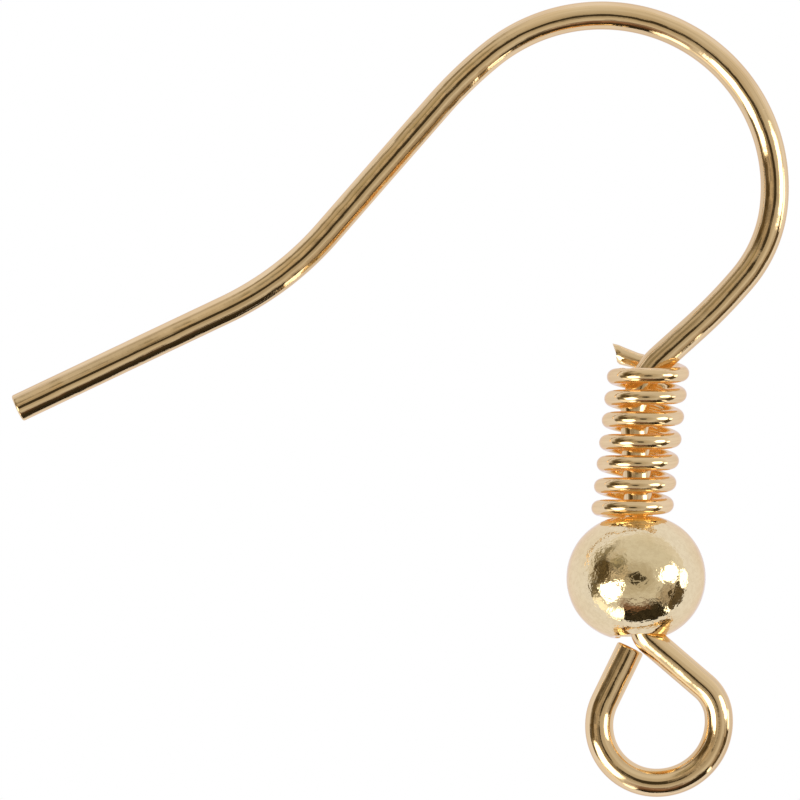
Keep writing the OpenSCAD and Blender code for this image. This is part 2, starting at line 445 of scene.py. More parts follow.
# %% The plated surface group
plate, plate_in, plate_out = new_group(
    "Plated Surface",
    "ShaderNodeTree",
    [
        ("Place", "vector", None),
        ("Line Place", "vector", None),
        ("Metal", "colour", (0.87, 0.64, 0.35, 1)),
        ("Deep", "colour", (0.8, 0.55, 0.27, 1)),
        ("Streak Colour", "colour", (0.5, 0.34, 0.17, 1)),
        ("Polish", "number", 0.06),
        ("Wear", "number", 0.05),
        ("Peel Size", "number", 9000.0),
        ("Peel", "number", 0.5),
        ("Lines", "number", 0.5),
        ("Waves", "number", 0.5),
        ("Streaks", "number", 0.1),
    ],
    [("Colour", "colour"), ("Roughness", "number"), ("Height", "number")],
)

on_piece, on_lines = plate_in.outputs["Place"], plate_in.outputs["Line Place"]
drift = noise_node(plate, on_piece, scale=900.0, detail=3.0)
peel = noise_node(plate, on_piece, scale=plate_in.outputs["Peel Size"], detail=2.0, roughness=0.6)
waves = noise_node(plate, on_piece, scale=1600.0, detail=1.0)
lines = noise_node(plate, on_lines, scale=1.0, detail=3.0, roughness=0.65)
tint = calc(plate, "MULTIPLY", ramp(plate, drift, 0.42, 0.72), 0.5)
streak = calc(plate, "MULTIPLY", ramp(plate, lines, 0.42, 0.6), plate_in.outputs["Streaks"])
plated = blend(plate, tint, plate_in.outputs["Metal"], plate_in.outputs["Deep"])
join(plate, blend(plate, streak, plated, plate_in.outputs["Streak Colour"]), plate_out.inputs["Colour"])
worn = calc(plate, "MULTIPLY", ramp(plate, lines, 0.45, 0.8), plate_in.outputs["Wear"])
join(plate, calc(plate, "ADD", plate_in.outputs["Polish"], worn), plate_out.inputs["Roughness"])
relief = calc(plate, "MULTIPLY", peel, plate_in.outputs["Peel"])
relief = calc(plate, "ADD", relief, calc(plate, "MULTIPLY", lines, plate_in.outputs["Lines"]))
relief = calc(plate, "ADD", relief, calc(plate, "MULTIPLY", waves, plate_in.outputs["Waves"]))
join(plate, relief, plate_out.inputs["Height"])
print("plated surface group:", len(plate.nodes), "nodes")

# %% [markdown]
# A material places the group with its own numbers. For the wires the lines read `straightened`, and
# for the bead plain Object coordinates.
#
# Between the rings of the coil, light bounces many times before it gets out, and each bounce tints
# it again, so the real gaps are a deep orange. The renderer stops after a few bounces and would
# leave them dull. So a ray that has already been mirrored twice finds a little light on the metal,
# which stands for the bounces that are cut off. The first two hits find none.

# %% A plated material
DEEP_LIGHT = (0.23, 0.2, 0.11, 1)
MIRRORED_TWICE = 1.5
EDGE_TINT = (0.95, 0.82, 0.7, 1)


def plated_material(name, wire, line_scale, relief_depth, values):
    """One plated metal. A unit of its relief stands `relief_depth` metres high."""
    material = bpy.data.materials.new(name)
    material.use_nodes = True
    tree = material.node_tree
    shader = tree.nodes["Principled BSDF"]
    group = put(tree, "ShaderNodeGroup", node_tree=plate)
    place = put(tree, "ShaderNodeTexCoord").outputs["Object"]
    join(tree, place, group.inputs["Place"])
    stretch = put(tree, "ShaderNodeMapping")
    stretch.inputs["Scale"].default_value = line_scale
    if wire:
        pulled_straight = put(tree, "ShaderNodeAttribute", attribute_name="straightened")
        join(tree, pulled_straight.outputs["Vector"], stretch.inputs["Vector"])
    else:
        join(tree, place, stretch.inputs["Vector"])
    join(tree, stretch.outputs["Vector"], group.inputs["Line Place"])
    for key, value in values.items():
        group.inputs[key].default_value = value
    shader.inputs["Metallic"].default_value = 1.0
    shader.inputs["Specular Tint"].default_value = EDGE_TINT
    join(tree, group.outputs["Colour"], shader.inputs["Base Color"])
    join(tree, group.outputs["Roughness"], shader.inputs["Roughness"])
    bump = put(tree, "ShaderNodeBump")
    bump.inputs["Distance"].default_value = relief_depth
    bump.inputs["Strength"].default_value = 1.0
    join(tree, group.outputs["Height"], bump.inputs["Height"])
    join(tree, bump.outputs["Normal"], shader.inputs["Normal"])
    ray_depth = put(tree, "ShaderNodeLightPath").outputs["Ray Depth"]
    deep = calc(tree, "GREATER_THAN", ray_depth, MIRRORED_TWICE)
    join(tree, blend(tree, deep, (0, 0, 0, 1), DEEP_LIGHT), shader.inputs["Emission Color"])
    shader.inputs["Emission Strength"].default_value = 1.0
    return material


print("light of the deep bounces:", DEEP_LIGHT[:3])

# %% [markdown]
# The three metals differ a little. The marks are stretched along the third axis, so that one on the
# hook is a hundred times longer than it is wide, and one on the coil about twenty times. The bead was
# polished in a tumbler, so its marks have no direction, its peel and waves are the strongest, and its
# plating is a touch yellower. One unit of relief is about a thousandth of a millimetre.

# %% The three metals
hook_metal = plated_material(
    "polished_hook_wire",
    wire=True,
    line_scale=(11000, 11000, 110),
    relief_depth=0.0014 * MM,
    values={"Polish": 0.05, "Wear": 0.08, "Peel": 1.0, "Lines": 3.5, "Waves": 16.0, "Streaks": 0.4},
)
coil_metal = plated_material(
    "polished_coil_wire",
    wire=True,
    line_scale=(20000, 20000, 900),
    relief_depth=0.001 * MM,
    values={"Polish": 0.05, "Wear": 0.08, "Peel": 1.5, "Lines": 2.5, "Waves": 12.0, "Streaks": 0.2},
)
bead_metal = plated_material(
    "polished_bead_sheet",
    wire=False,
    line_scale=(9000, 9000, 9000),
    relief_depth=0.0013 * MM,
    values={
        "Metal": (0.88, 0.71, 0.415, 1),
        "Deep": (0.8, 0.6, 0.3, 1),
        "Polish": 0.05,
        "Wear": 0.05,
        "Peel Size": 7000.0,
        "Peel": 7.0,
        "Lines": 1.0,
        "Waves": 30.0,
        "Streaks": 0.15,
    },
)
print("materials:", [m.name for m in bpy.data.materials])

# %% [markdown]
# Now the hook is swept along its chain of points. The ends get closely spaced points, because that
# is where the cut edge turns.

# %% Sweep the hook
END_ROUNDING = 0.05
FINE_RINGS = 6
HOOK_SIDES = 56


def chain(name, points):
    mesh = bpy.data.meshes.new(name)
    edges = [(k, k + 1) for k in range(len(points) - 1)]
    mesh.from_pydata([p * MM for p in points], edges, [])
    return mesh


def with_fine_ends(points):
    """Add close rings over the first and last stretch, where the cut edge is rounded."""
    step = math.radians(90 / FINE_RINGS)
    fine = [END_ROUNDING * (1 - math.cos(step * k)) for k in range(1, FINE_RINGS + 1)]
    first, second = points[0], points[1]
    last, before = points[-1], points[-2]
    head = [first] + [first + (second - first).normalized() * s for s in fine]
    tail = [last + (before - last).normalized() * s for s in reversed(fine)] + [last]
    return head + points[1:-1] + tail


hook_points = [lying @ f.translation for f in wire_frames]
hook = run_tree(
    "ear_wire",
    chain("ear_wire_path", with_fine_ends(hook_points)),
    bent,
    {
        "Wire Radius": WIRE_R * MM,
        "Sides": HOOK_SIDES,
        "End Rounding": END_ROUNDING * MM,
        "Metal": hook_metal,
    },
)
check_skin(hook)

# %% [markdown]
# The real arch lies almost level on the table, and the wire climbs to the bead only in its last
# part. Our hook is bent in one plane, so its arch leans by up to six degrees. The eye can't see that
# lean, but a mirror doubles it, and the reflection of the lens would slip off the top of the wire.
# Custom normals put the mirror back to level there and leave the shape alone. They fade out before
# the stem.
#
# The long straights of the real wire are also very slightly flat along their outer side, as drawn
# wire often is. A flat shows one direction of the room over its whole width, which is why the
# photograph has a broad dark band there. The same normals give that flat.
#
# The flat comes first. Its three angles are measured from the top of the wire towards its right-hand
# side: between the first two the normal stands still, and by the third it has caught up again.

# %% The flat of the straights
FLAT_UNTIL = 13.4
FLAT_FADE = 0.8
FLAT_FROM_ANGLE = 43.0
FLAT_TO_ANGLE = 56.0
ROUND_AGAIN = 70.0


def clamp(value):
    return min(1.0, max(0.0, value))


def flattened(normal, along, distance):
    """Hold the normal still across a narrow flat on the right-hand side of the wire."""
    side = along.cross(Vector((0, 0, 1))).normalized()
    up = side.cross(along).normalized()
    angle = math.degrees(math.atan2(normal.dot(side), normal.dot(up)))
    weight = clamp(FLAT_UNTIL + FLAT_FADE - distance)
    if weight == 0 or not FLAT_FROM_ANGLE < angle < ROUND_AGAIN:
        return normal
    if angle < FLAT_TO_ANGLE:
        goal = FLAT_FROM_ANGLE
    else:
        share = (angle - FLAT_TO_ANGLE) / (ROUND_AGAIN - FLAT_TO_ANGLE)
        goal = FLAT_FROM_ANGLE + share * (ROUND_AGAIN - FLAT_FROM_ANGLE)
    return Matrix.Rotation(math.radians((goal - angle) * weight), 3, along) @ normal


print("degrees over which the normal stands still:", FLAT_TO_ANGLE - FLAT_FROM_ANGLE)

# %% [markdown]
# Then the levelling. Each point of the skin knows how far along the wire it is, from `straightened`,
# and so which way the wire leans there. Its normal is turned by what brings that stretch to level.

# %% Level the mirror of the arch
LEVEL_UNTIL = 22.5
LEVEL_FADE = 3.0


def level_mirror(piece, frames):
    """Give the piece custom normals. Returns the largest turn, in degrees."""
    reached = 0.0
    marks = []
    for here, following in zip(frames, frames[1:]):
        step_along = (lying @ following.translation) - (lying @ here.translation)
        marks.append((reached + step_along.length / 2, step_along.normalized()))
        reached += step_along.length
    along = piece.data.attributes["straightened"].data
    normals = []
    nearest = 0
    turned = 0.0
    for vertex, mark in zip(piece.data.vertices, along):
        distance = mark.vector.z / MM
        while nearest > 0 and marks[nearest][0] > distance:
            nearest -= 1
        while nearest < len(marks) - 1 and marks[nearest][0] < distance:
            nearest += 1
        lean = marks[nearest][1]
        flat = Vector((lean.x, lean.y, 0)).normalized()
        weight = clamp((LEVEL_UNTIL + LEVEL_FADE - distance) / LEVEL_FADE)
        goal = lean.lerp(flat, weight).normalized()
        levelled = lean.rotation_difference(goal) @ vertex.normal
        normals.append(flattened(levelled, goal, distance))
        turned = max(turned, math.degrees(lean.angle(goal)))
    piece.data.normals_split_custom_set_from_vertices(normals)
    return turned


print("largest turn of a normal, degrees:", round(level_mirror(hook, wire_frames), 2))

# %% [markdown]
# ## The coil
#
# A spring is a rule: each point goes a little further round and a little further up. Geometry Nodes
# can state that rule directly. A line of points gets its index turned into an angle, and the angle
# into a place on a helix. The first quarter turn goes round without climbing, so the coil starts
# flat on the bead. Past the last turn the points leave along the tangent, which is the short tail
# that the maker left when nipping the wire. The rings are tipped a little, lower in front than
# behind, and a slow noise shifts the turns a few hundredths of a millimetre, because hand-wound
# turns are never quite even.
#
# First come the inputs, and how far round each point is.

# %% The wound coil tree: how far round
FULL_TURN = 2 * math.pi
wound, wound_in, wound_out = new_group(
    "Wound Coil",
    "GeometryNodeTree",
    [
        ("Geometry", "geometry", None),
        ("Coil Radius", "number", 0.00074),
        ("Wire Radius", "number", 0.00018),
        ("Pitch", "number", 0.0005),
        ("Lead In", "number", 0.6),
        ("Last Angle", "number", 42.4),
        ("Points Per Turn", "number", 72.0),
        ("Point Count", "count", 600),
        ("Tail Length", "number", 0.0008),
        ("Tail Lift", "number", 0.00008),
        ("Ring Tip", "number", 0.00005),
        ("Unevenness", "number", 0.00003),
        ("Seed", "number", 3.0),
        ("Sides", "count", 28),
        ("End Rounding", "number", 0.00003),
        ("Metal", "material", None),
    ],
    [("Geometry", "geometry")],
)
step = calc(wound, "DIVIDE", FULL_TURN, wound_in.outputs["Points Per Turn"])
index = put(wound, "GeometryNodeInputIndex").outputs[0]
angle = calc(wound, "SUBTRACT", calc(wound, "MULTIPLY", index, step), wound_in.outputs["Lead In"])
wind = calc(wound, "MINIMUM", angle, wound_in.outputs["Last Angle"])
past = calc(wound, "MAXIMUM", calc(wound, "SUBTRACT", angle, wound_in.outputs["Last Angle"]), 0.0)
past = calc(wound, "MULTIPLY", past, wound_in.outputs["Coil Radius"])
past = calc(wound, "MINIMUM", past, wound_in.outputs["Tail Length"])

wobble = put(wound, "ShaderNodeTexNoise", noise_dimensions="1D")
turns_done = calc(wound, "DIVIDE", wind, FULL_TURN)
join(wound, calc(wound, "ADD", turns_done, wound_in.outputs["Seed"]), wobble.inputs["W"])
wobble.inputs["Scale"].default_value = 0.9
wobble.inputs["Detail"].default_value = 1.0
uneven = calc(wound, "SUBTRACT", wobble.outputs["Fac"], 0.5)
uneven = calc(wound, "MULTIPLY", uneven, wound_in.outputs["Unevenness"])
print("nodes for the winding:", len(wound.nodes))

# %% [markdown]
# Then each point gets its place. Across and front are a circle, and the tail leaves it to the left.
# Up is the climb, less the tipping of the rings, plus the slope and the lift of the tail. The climb
# counts from a quarter turn, where a ring passes the front.

# %% The wound coil tree: the place of each point
across = calc(wound, "MULTIPLY", calc(wound, "COSINE", wind), wound_in.outputs["Coil Radius"])
across = calc(wound, "SUBTRACT", calc(wound, "MULTIPLY", across, -1.0), past)
front = calc(wound, "MULTIPLY", calc(wound, "SINE", wind), wound_in.outputs["Coil Radius"])
climbing = calc(wound, "MAXIMUM", wind, 0.0)
turns_up = calc(wound, "SUBTRACT", calc(wound, "DIVIDE", climbing, FULL_TURN), 0.25)
up = calc(wound, "MULTIPLY", turns_up, wound_in.outputs["Pitch"])
tipping = calc(wound, "MULTIPLY", calc(wound, "SINE", climbing), wound_in.outputs["Ring Tip"])
up = calc(wound, "SUBTRACT", up, tipping)
slope = calc(wound, "DIVIDE", wound_in.outputs["Pitch"], FULL_TURN)
slope = calc(wound, "DIVIDE", slope, wound_in.outputs["Coil Radius"])
up = calc(wound, "ADD", up, calc(wound, "MULTIPLY", past, slope))
tail_share = calc(wound, "DIVIDE", past, wound_in.outputs["Tail Length"])
lift = calc(wound, "MULTIPLY", tail_share, tail_share)
lift = calc(wound, "MULTIPLY", lift, wound_in.outputs["Tail Lift"])
up = calc(wound, "ADD", calc(wound, "ADD", up, lift), uneven)

points = put(wound, "GeometryNodeMeshLine")
join(wound, wound_in.outputs["Point Count"], points.inputs["Count"])
put_places = put(wound, "GeometryNodeSetPosition")
join(wound, points.outputs["Mesh"], put_places.inputs["Geometry"])
join(wound, vector_of(wound, across, up, front), put_places.inputs["Position"])
sweep_and_paint(wound, wound_in, wound_out, put_places.outputs["Geometry"])
print("coil tree:", len(wound.nodes), "nodes")

# %% [markdown]
# The bead and the coil are stacked on the stem, so their own frames are set from its foot: X to the
# right, Y up the stem and Z to the front. The bead hangs a little to one side. The coil stands over
# it and leans against the stem, to one side and a little sunk, tipped and leaned.

# %% The stack on the stem
BEAD_RISE = 1.11
BEAD_SHIFT = 0.12
BEAD_TIP = 1.5
HALF_LEN = 1.33
COIL_GAP = 0.11
COIL_WIRE_R = 0.18
COIL_SHIFT = 0.13
COIL_SINK = 0.07
COIL_LEAN = 9.2764
COIL_TIP = 1.90915


def on_stem(rise, shift, sink):
    """A frame at a height over the foot, shifted to the left and sunk to the back."""
    return foot @ move(-rise, 0, 0) @ spin(90, "Z") @ move(-shift, 0, -sink)


coil_rise = BEAD_RISE + HALF_LEN + COIL_GAP + COIL_WIRE_R
bead_frame = on_stem(BEAD_RISE, BEAD_SHIFT, 0) @ spin(-BEAD_TIP, "X")
coil_frame = on_stem(coil_rise, COIL_SHIFT, COIL_SINK) @ spin(-COIL_LEAN, "Z") @ spin(COIL_TIP, "X")
print("heights on the stem, mm: bead", BEAD_RISE, "coil", round(coil_rise, 3))

# %% [markdown]
# Now the coil is wound, with seven turns in front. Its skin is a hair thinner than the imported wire.
# The count of points is what the lead-in, the turns and the tail need together.

# %% Wind the coil
COIL_R = 0.75
COIL_SKIN_R = 0.176
PITCH = 0.5
LEAD_IN = 90
LAST_ANGLE = 360 * 6 + 270
TAIL_LEN = 0.84
PER_TURN = 72

tail_angle = math.degrees(TAIL_LEN / COIL_R)
coil_points = math.ceil((LAST_ANGLE + LEAD_IN + tail_angle) / 360 * PER_TURN)
print("points along the coil:", coil_points)
coil = run_tree(
    "coil_spring",
    bpy.data.meshes.new("coil_start"),
    wound,
    {
        "Coil Radius": COIL_R * MM,
        "Wire Radius": COIL_SKIN_R * MM,
        "Pitch": PITCH * MM,
        "Lead In": math.radians(LEAD_IN),
        "Last Angle": math.radians(LAST_ANGLE),
        "Points Per Turn": float(PER_TURN),
        "Point Count": coil_points,
        "Tail Length": TAIL_LEN * MM,
        "Tail Lift": 0.05 * MM,
        "Ring Tip": 0.049 * MM,
        "Unevenness": 0.06 * MM,
        "Seed": 3.0,
        "Sides": 32,
        "End Rounding": 0.03 * MM,
        "Metal": coil_metal,
    },
)

# %% [markdown]
# The tail was cut with nippers. They squeeze the wire until it parts, so the end is a little
# flattened and slanted, and a thin burr stands out where the blades met. We push the last few rings
# of points about in the coil's own frame, where the tail runs to the left.
#
# The tail is found first: it lies higher than any ring and well to the left. `share` then goes from
# 0 where the squeeze begins to 1 at the tip. The numbers are millimetres, or shares of them.

# %% Nip the tail
TAIL_ABOVE = 3.07
TAIL_LEFT_OF = -0.3
TIP_LEN = 0.1
TAIL_FALL = 0.25
NIP_LEN = 0.5
TALLER = 0.28
THINNER = 0.25
SLANT = 0.5
BURR_LEN = 0.26
BURR_OUT = 0.75
BURR_UP = 0.4
BURR_HALF_WIDTH = 0.12
TAIL_TOP = 0.146
BURR_FROM = 0.6


def nip(piece):
    """Squeeze and slant the end of the tail, and draw out its burr."""
    limit_y, limit_x = TAIL_ABOVE * MM, TAIL_LEFT_OF * MM
    tail = [v.co / MM for v in piece.data.vertices if v.co.y > limit_y and v.co.x < limit_x]
    tip_x = min(p.x for p in tail)
    near_tip = [p for p in tail if p.x < tip_x + TIP_LEN]
    middle = sum(near_tip, Vector()) / len(near_tip)
    moved = 0
    for vertex in piece.data.vertices:
        p = vertex.co / MM
        if p.y < TAIL_ABOVE or p.x > tip_x + NIP_LEN:
            continue
        share = (tip_x + NIP_LEN - p.x) / NIP_LEN
        centre_y = middle.y - TAIL_FALL * (p.x - tip_x)
        up, out = p.y - centre_y, p.z - middle.z
        p.y = centre_y + up * (1 + TALLER * share)
        p.z = middle.z + out * (1 - THINNER * share)
        p.x -= SLANT * up * share * share
        on_top = clamp((up / TAIL_TOP - BURR_FROM) / (1 - BURR_FROM))
        spike = on_top * max(0.0, 1 - (out / BURR_HALF_WIDTH) ** 2) * share ** 6
        p.x -= BURR_LEN * BURR_OUT * spike
        p.y += BURR_LEN * BURR_UP * spike
        vertex.co = p * MM
        moved += 1
    return moved


print("points moved by the nippers:", nip(coil))
coil_place = in_metres @ lying @ coil_frame @ in_metres.inverted()
coil.data.transform(coil_place)
check_skin(coil)

# %% [markdown]
# ## The bead
#
# The bead is thin sheet, drawn to a ball with a hole at each end. A lathe makes it: one outline,
# turned about the stem. The outline is closed, out over the round side and back along the inner
# wall, so the sheet has a real thickness at the holes. Two facts keep it from looking like a plain
# sphere: the side is a smaller arc than the diameter asks for, which makes it slightly squat, and
# its ends are rolled in over the holes.
#
# Points are pairs of a radius and a height. The round side stops where a small roll can carry on to
# the flat end, and the lower half mirrors the upper one.

# %% The bead's outline
BEAD_R = 1.575
SIDE_R = 1.41
SHEET = 0.15
HOLE_R = 0.51
ROLL = 0.05
INNER_EASE = 0.02


def arc_points(cx, cy, radius, start, end, count):
    angles = [math.radians(start + (end - start) * k / count) for k in range(count + 1)]
    return [(cx + radius * math.cos(a), cy + radius * math.sin(a)) for a in angles]


def mirrored(points):
    return [(r, -y) for r, y in reversed(points)]


def bead_outline():
    inset = BEAD_R - SIDE_R
    stop = math.degrees(math.asin((HALF_LEN - ROLL) / (SIDE_R - ROLL)))
    outer = arc_points(inset, 0, SIDE_R, -stop, stop, 72)
    knee = inset + (SIDE_R - ROLL) * math.cos(math.radians(stop))
    top_roll = arc_points(knee, HALF_LEN - ROLL, ROLL, stop, 90, 6)[1:]
    lip = arc_points(HOLE_R + ROLL, HALF_LEN - ROLL, ROLL, 90, 180, 6)
    inner_stop = math.degrees(math.asin((HALF_LEN - SHEET) / (SIDE_R - SHEET)))
    inner = arc_points(inset, 0, SIDE_R - SHEET, inner_stop, -inner_stop, 40)
    rim = [(HOLE_R, HALF_LEN - SHEET + INNER_EASE), (HOLE_R + INNER_EASE, HALF_LEN - SHEET)]
    return outer + top_roll + lip + rim + inner + mirrored(rim) + mirrored(lip) + mirrored(top_roll)


outline = bead_outline()
print("bead outline:", len(outline), "points")

# %% [markdown]
# The lathe turns the outline in steps and skins each step to the next. The last one joins the first,
# so the shell closes without a seam.

# %% Turn the bead
SEGMENTS = 144


def turned_bead():
    body = bmesh.new()
    rings = []
    for k in range(SEGMENTS):
        a = FULL_TURN * k / SEGMENTS
        rings.append([body.verts.new((r * math.cos(a), y, r * math.sin(a))) for r, y in outline])
    size = len(outline)
    for k, ring in enumerate(rings):
        following = rings[(k + 1) % SEGMENTS]
        for j in range(size):
            n = (j + 1) % size
            body.faces.new((ring[j], ring[n], following[n], following[j]))
    bmesh.ops.recalc_face_normals(body, faces=body.faces)
    mesh = bpy.data.meshes.new("round_bead")
    body.to_mesh(mesh)
    body.free()
    return mesh


bead_mesh = turned_bead()
print("bead faces:", len(bead_mesh.polygons))

# %% [markdown]
# The strand of the loop bends out through the lower hole, and the thin lip there gives way to it.
# On the mesh that is a push: every point of the lip that is too close to the wire's centre line
# moves straight away from it until it is clear.

# %% Clear the lower hole
LIP_BELOW = -0.8
WIRE_NEAR_FOOT = 1.6
CLEARANCE = 0.04


def clear_of_wire(mesh, place, centre_line, reach):
    """Push the lip's points out to a distance from the wire. Returns how many moved."""
    moved = 0
    back = place.inverted()
    for vertex in mesh.vertices:
        if vertex.co.y > LIP_BELOW:
            continue
        point = place @ vertex.co
        nearest = min(centre_line, key=lambda p: (p - point).length_squared)
        away = point - nearest
        if away.length < reach:
            vertex.co = back @ (nearest + away.normalized() * reach)
            moved += 1
    return moved


wire_points = [f.translation for f in wire_frames]
stem_end = [p for p in wire_points if (p - foot.translation).length < WIRE_NEAR_FOOT]
pushed = clear_of_wire(bead_mesh, bead_frame, stem_end, WIRE_R + CLEARANCE)
bead_mesh.transform(in_metres @ lying @ bead_frame)
bead_mesh.materials.append(bead_metal)
bead = add_object("round_bead", bead_mesh)
check_skin(bead)
print("lip points pushed clear of the strand:", pushed)

# %% [markdown]
# ## Fit the pieces to the frame
#
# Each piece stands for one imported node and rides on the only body. The node itself is hidden but
# stays for collision.

# %% Ride and replace
for piece, node, slot in (
    (hook, "ear_hook", "hook_metal"),
    (coil, "coil", "coil_metal"),
    (bead, "bead", "bead_metal"),
):
    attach(piece, "root")
    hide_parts(node)
    low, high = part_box(node)
    corners = [v.co for v in piece.data.vertices]
    mine_low = [min(c[i] for c in corners) for i in range(3)]
    mine_high = [max(c[i] for c in corners) for i in range(3)]
    print(node, "low off by mm", [round((a - b) / MM, 3) for a, b in zip(mine_low, low)])
    print(node, "high off by mm", [round((a - b) / MM, 3) for a, b in zip(mine_high, high)])

# %% [markdown]
# ## The studio
#
# The picture was taken on a bright white table, inside a pale room. In the bead we can read that
# room like a map. The outer ring of the bead mirrors the table, the middle mirrors the ceiling with
# the lens in it, and between them sit soft lights and some brown and dark shapes. We build the same
# map as a world: a warm ceiling, soft patches of light, and darker patches low down. Only
# reflections see it.
#
# One group makes the mask of a patch from the direction that a ray leaves in. A patch is a rounded
# rectangle in heading and height, which a power of three gives between an ellipse and a box.

# %% A patch of the room
CORNERS = 3.0
patch, patch_in, patch_out = new_group(
    "Room Patch",
    "ShaderNodeTree",
    [
        ("Heading", "number", 0.0),
        ("Height", "number", 0.0),
        ("Patch Heading", "number", 0.0),
        ("Patch Height", "number", 0.0),
        ("Half Width", "number", 20.0),
        ("Half Height", "number", 20.0),
        ("Softness", "number", 0.2),
    ],
    [("Mask", "number")],
)
turn = calc(patch, "SUBTRACT", patch_in.outputs["Heading"], patch_in.outputs["Patch Heading"])
turn = calc(patch, "WRAP", turn, 180.0, -180.0)
turn = calc(patch, "ABSOLUTE", calc(patch, "DIVIDE", turn, patch_in.outputs["Half Width"]))
climb = calc(patch, "SUBTRACT", patch_in.outputs["Height"], patch_in.outputs["Patch Height"])
climb = calc(patch, "ABSOLUTE", calc(patch, "DIVIDE", climb, patch_in.outputs["Half Height"]))
away = calc(patch, "ADD", calc(patch, "POWER", turn, CORNERS), calc(patch, "POWER", climb, CORNERS))
away = calc(patch, "POWER", away, 1 / CORNERS)
inner_edge = calc(patch, "SUBTRACT", 1.0, patch_in.outputs["Softness"])
outer_edge = calc(patch, "ADD", 1.0, patch_in.outputs["Softness"])
join(patch, ramp(patch, away, inner_edge, outer_edge, 1.0, 0.0), patch_out.inputs["Mask"])
print("room patch group:", len(patch.nodes), "nodes")

# %% [markdown]
# The world reads the direction of each ray as a heading round the table and a height above it, both
# in degrees. A fine noise shakes them for the dark shapes, so that their edges are ragged, as the
# clutter of a real room looks once a small bead has squeezed it together. The lights keep the steady
# directions.

# %% Directions in the room
RAGGED = 26.0
room = bpy.data.worlds.new("pale_room")
bpy.context.scene.world = room
room.use_nodes = True
sky = room.node_tree
sky.nodes.clear()
looking = put(sky, "ShaderNodeTexCoord").outputs["Generated"]
ripple = put(sky, "ShaderNodeTexNoise")
join(sky, looking, ripple.inputs["Vector"])
ripple.inputs["Scale"].default_value = 8.0
ripple.inputs["Roughness"].default_value = 0.62
ripple.inputs["Detail"].default_value = 7.0
parts = put(sky, "ShaderNodeSeparateXYZ")
join(sky, looking, parts.inputs[0])
heading = calc(sky, "DEGREES", calc(sky, "ARCTAN2", parts.outputs["Y"], parts.outputs["X"]))
height = calc(sky, "DEGREES", calc(sky, "ARCSINE", parts.outputs["Z"]))
shake = calc(sky, "MULTIPLY", calc(sky, "SUBTRACT", ripple.outputs["Fac"], 0.5), RAGGED)
rough_height = calc(sky, "ADD", height, shake)
rough_heading = calc(sky, "ADD", heading, shake)


def room_patch(where, size, softness, rough=False):
    """The mask of one patch: its heading and height, its half width and half height."""
    node = put(sky, "ShaderNodeGroup", node_tree=patch)
    join(sky, rough_heading if rough else heading, node.inputs["Heading"])
    join(sky, rough_height if rough else height, node.inputs["Height"])
    for key, number in zip(("Patch Heading", "Patch Height"), where):
        node.inputs[key].default_value = number
    for key, number in zip(("Half Width", "Half Height"), size):
        node.inputs[key].default_value = number
    node.inputs["Softness"].default_value = softness
    return node.outputs["Mask"]


print("nodes for directions:", len(sky.nodes))

# %% [markdown]
# The bare room is three pale colours, one above the other: low wall, wall and ceiling, with soft
# steps between them. The ceiling is the warmest and the darkest.

# %% Walls and ceiling
LOW_WALL = (0.82, 0.82, 0.87, 1)
WALL = (0.72, 0.72, 0.73, 1)
CEILING = (0.54, 0.51, 0.46, 1)
room_colour = blend(sky, ramp(sky, height, 2.0, 26.0), LOW_WALL, WALL)
room_colour = blend(sky, ramp(sky, height, 44.0, 74.0), room_colour, CEILING)
print("blends so far:", sum(node.bl_idname == "ShaderNodeMix" for node in sky.nodes))

# %% [markdown]
# Patches go on in order, as on a painted wall: first the brown and dark shapes, then the lights over
# them. Headings are degrees round the table from the right-hand side, heights are degrees above it.
# Each row below is a place, a half size, a softness, a strength and a colour. The same noise mottles
# the colours, from less than half to well over their own brightness.

# %% Brown and dark shapes
mottle = ramp(sky, ripple.outputs["Fac"], 0.35, 0.65, to_low=0.45, to_high=1.7)
DARK_SHAPES = (
    ((165, 55), (42, 38), 0.5, 0.75, (0.42, 0.35, 0.26)),
    ((138, 50), (19, 9), 0.5, 0.75, (0.22, 0.20, 0.13)),
    ((-36, 27), (24, 16), 0.4, 0.75, (0.30, 0.24, 0.18)),
    ((140, 13), (22, 9), 0.5, 0.85, (0.17, 0.145, 0.09)),
    ((168, 29), (22, 17), 0.3, 0.97, (0.09, 0.065, 0.03)),
    ((-165, 9), (17, 13), 0.3, 0.92, (0.13, 0.10, 0.05)),
    ((-30, 4), (27, 19), 0.2, 0.97, (0.09, 0.065, 0.032)),
    ((-83, 13), (33, 26), 0.12, 1.0, (0.035, 0.028, 0.018)),
    ((-95, 36), (24, 11), 0.5, 0.85, (0.2, 0.11, 0.07)),
)
for where, size, softness, strength, colour in DARK_SHAPES:
    painted = put(sky, "ShaderNodeCombineColor")
    for channel, amount in zip(("Red", "Green", "Blue"), colour):
        join(sky, calc(sky, "MULTIPLY", mottle, amount), painted.inputs[channel])
    mask = calc(sky, "MULTIPLY", room_patch(where, size, softness, rough=True), strength)
    room_colour = blend(sky, mask, room_colour, painted.outputs[0])
print("dark shapes:", len(DARK_SHAPES))

# %% [markdown]
# The lights are the brightest things in the room, up to four times the white of the table, and a
# little warm. Two large ones make the two highlights of the bead. The smaller ones low down make the
# glints under them and the bright lines on the wire. Each row is a place, a half size, a softness and
# a power.

